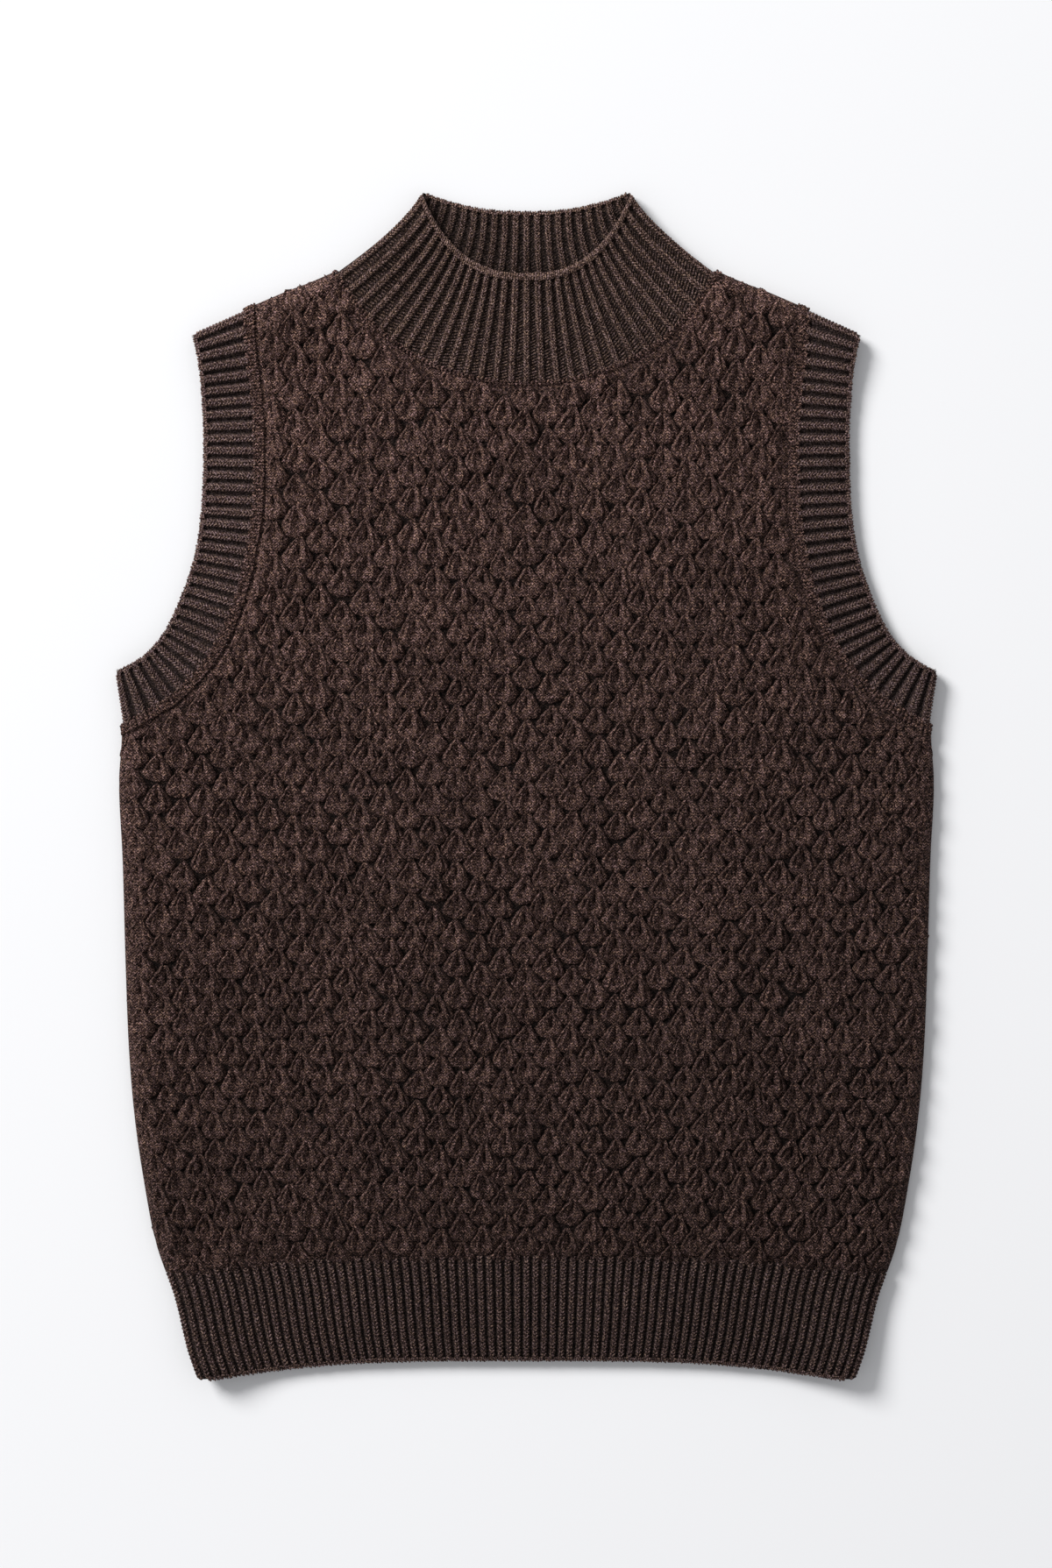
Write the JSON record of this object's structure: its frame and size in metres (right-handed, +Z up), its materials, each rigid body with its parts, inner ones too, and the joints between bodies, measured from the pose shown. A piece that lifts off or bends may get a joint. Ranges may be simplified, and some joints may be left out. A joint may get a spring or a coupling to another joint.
{
  "type": "knitted sweater vest",
  "caption": "Sleeveless sweater in an all-over leaf stitch with a ribbed stand-up collar, ribbed armholes and a deep ribbed hem, laid flat with its front up.",
  "frame": {"origin": "middle of the garment's box, on the surface that it lies on", "axes": "+Y from the hem to the neck, +X to the wearer's left, +Z up out of the front of the garment"},
  "size_m": [0.5208, 0.7487, 0.0167],
  "materials": {
    "body_knit": "heathered dark brown wool, knitted in raised leaves, matte with a soft nap",
    "hem_rib": "heathered dark brown wool in narrow vertical ribs, matte with a soft nap",
    "collar_rib": "heathered dark brown wool in ribs that widen towards the seam, matte with a soft nap",
    "armhole_rib": "heathered dark brown wool in ribs across the band, matte with a soft nap"
  },
  "bodies": {
    "root": {"front_panel": "body_knit", "back_panel": "body_knit", "hem_rib_front": "hem_rib", "hem_rib_back": "hem_rib", "collar_rib": "collar_rib", "armhole_rib_left": "armhole_rib", "armhole_rib_right": "armhole_rib"}
  },
  "joints": []
}
